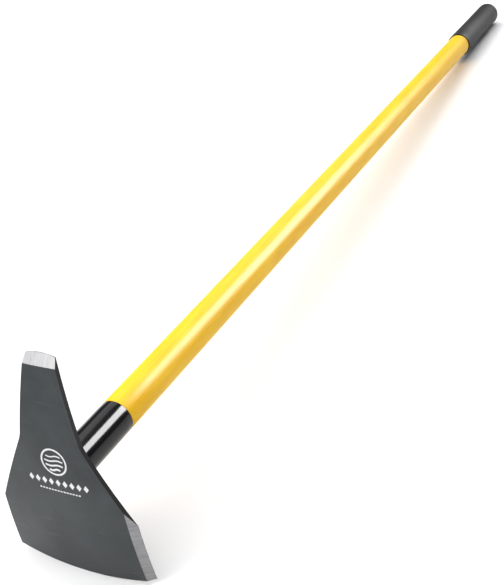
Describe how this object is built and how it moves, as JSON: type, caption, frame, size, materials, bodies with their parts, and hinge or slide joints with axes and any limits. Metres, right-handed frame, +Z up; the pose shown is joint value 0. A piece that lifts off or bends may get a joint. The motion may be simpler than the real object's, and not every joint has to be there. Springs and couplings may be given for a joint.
{
  "type": "grub hoe",
  "caption": "Grub hoe with a dished steel blade, narrow chopping end and wide curved digging end, tube socket, long yellow fibreglass handle and black end grip",
  "frame": {"origin": "centre of the footprint on the ground, at rest: blade standing on its curved edge, grip touching the ground behind", "axes": "+Y from the blade along the handle to the grip, +X across the blade, +Z up"},
  "size_m": [0.1584, 1.4823, 0.239],
  "materials": {
    "blade_steel": "satin dark grey with bare ground edges",
    "socket_black": "gloss black enamel",
    "screw_black": "gloss black enamel",
    "tenon_wood": "plain turned hardwood",
    "handle_yellow": "glossy resin over glass fibre",
    "plug_black": "moulded, matt",
    "grip_black": "soft vinyl with a fine matt skin"
  },
  "bodies": {
    "root": {"blade": "blade_steel", "socket": "socket_black", "weld_bead": "socket_black", "screw_near_blade": "screw_black", "screw_near_handle": "screw_black", "tenon": "tenon_wood", "handle_tube": "handle_yellow", "tip_plug": "plug_black", "end_grip": "grip_black"}
  },
  "joints": []
}
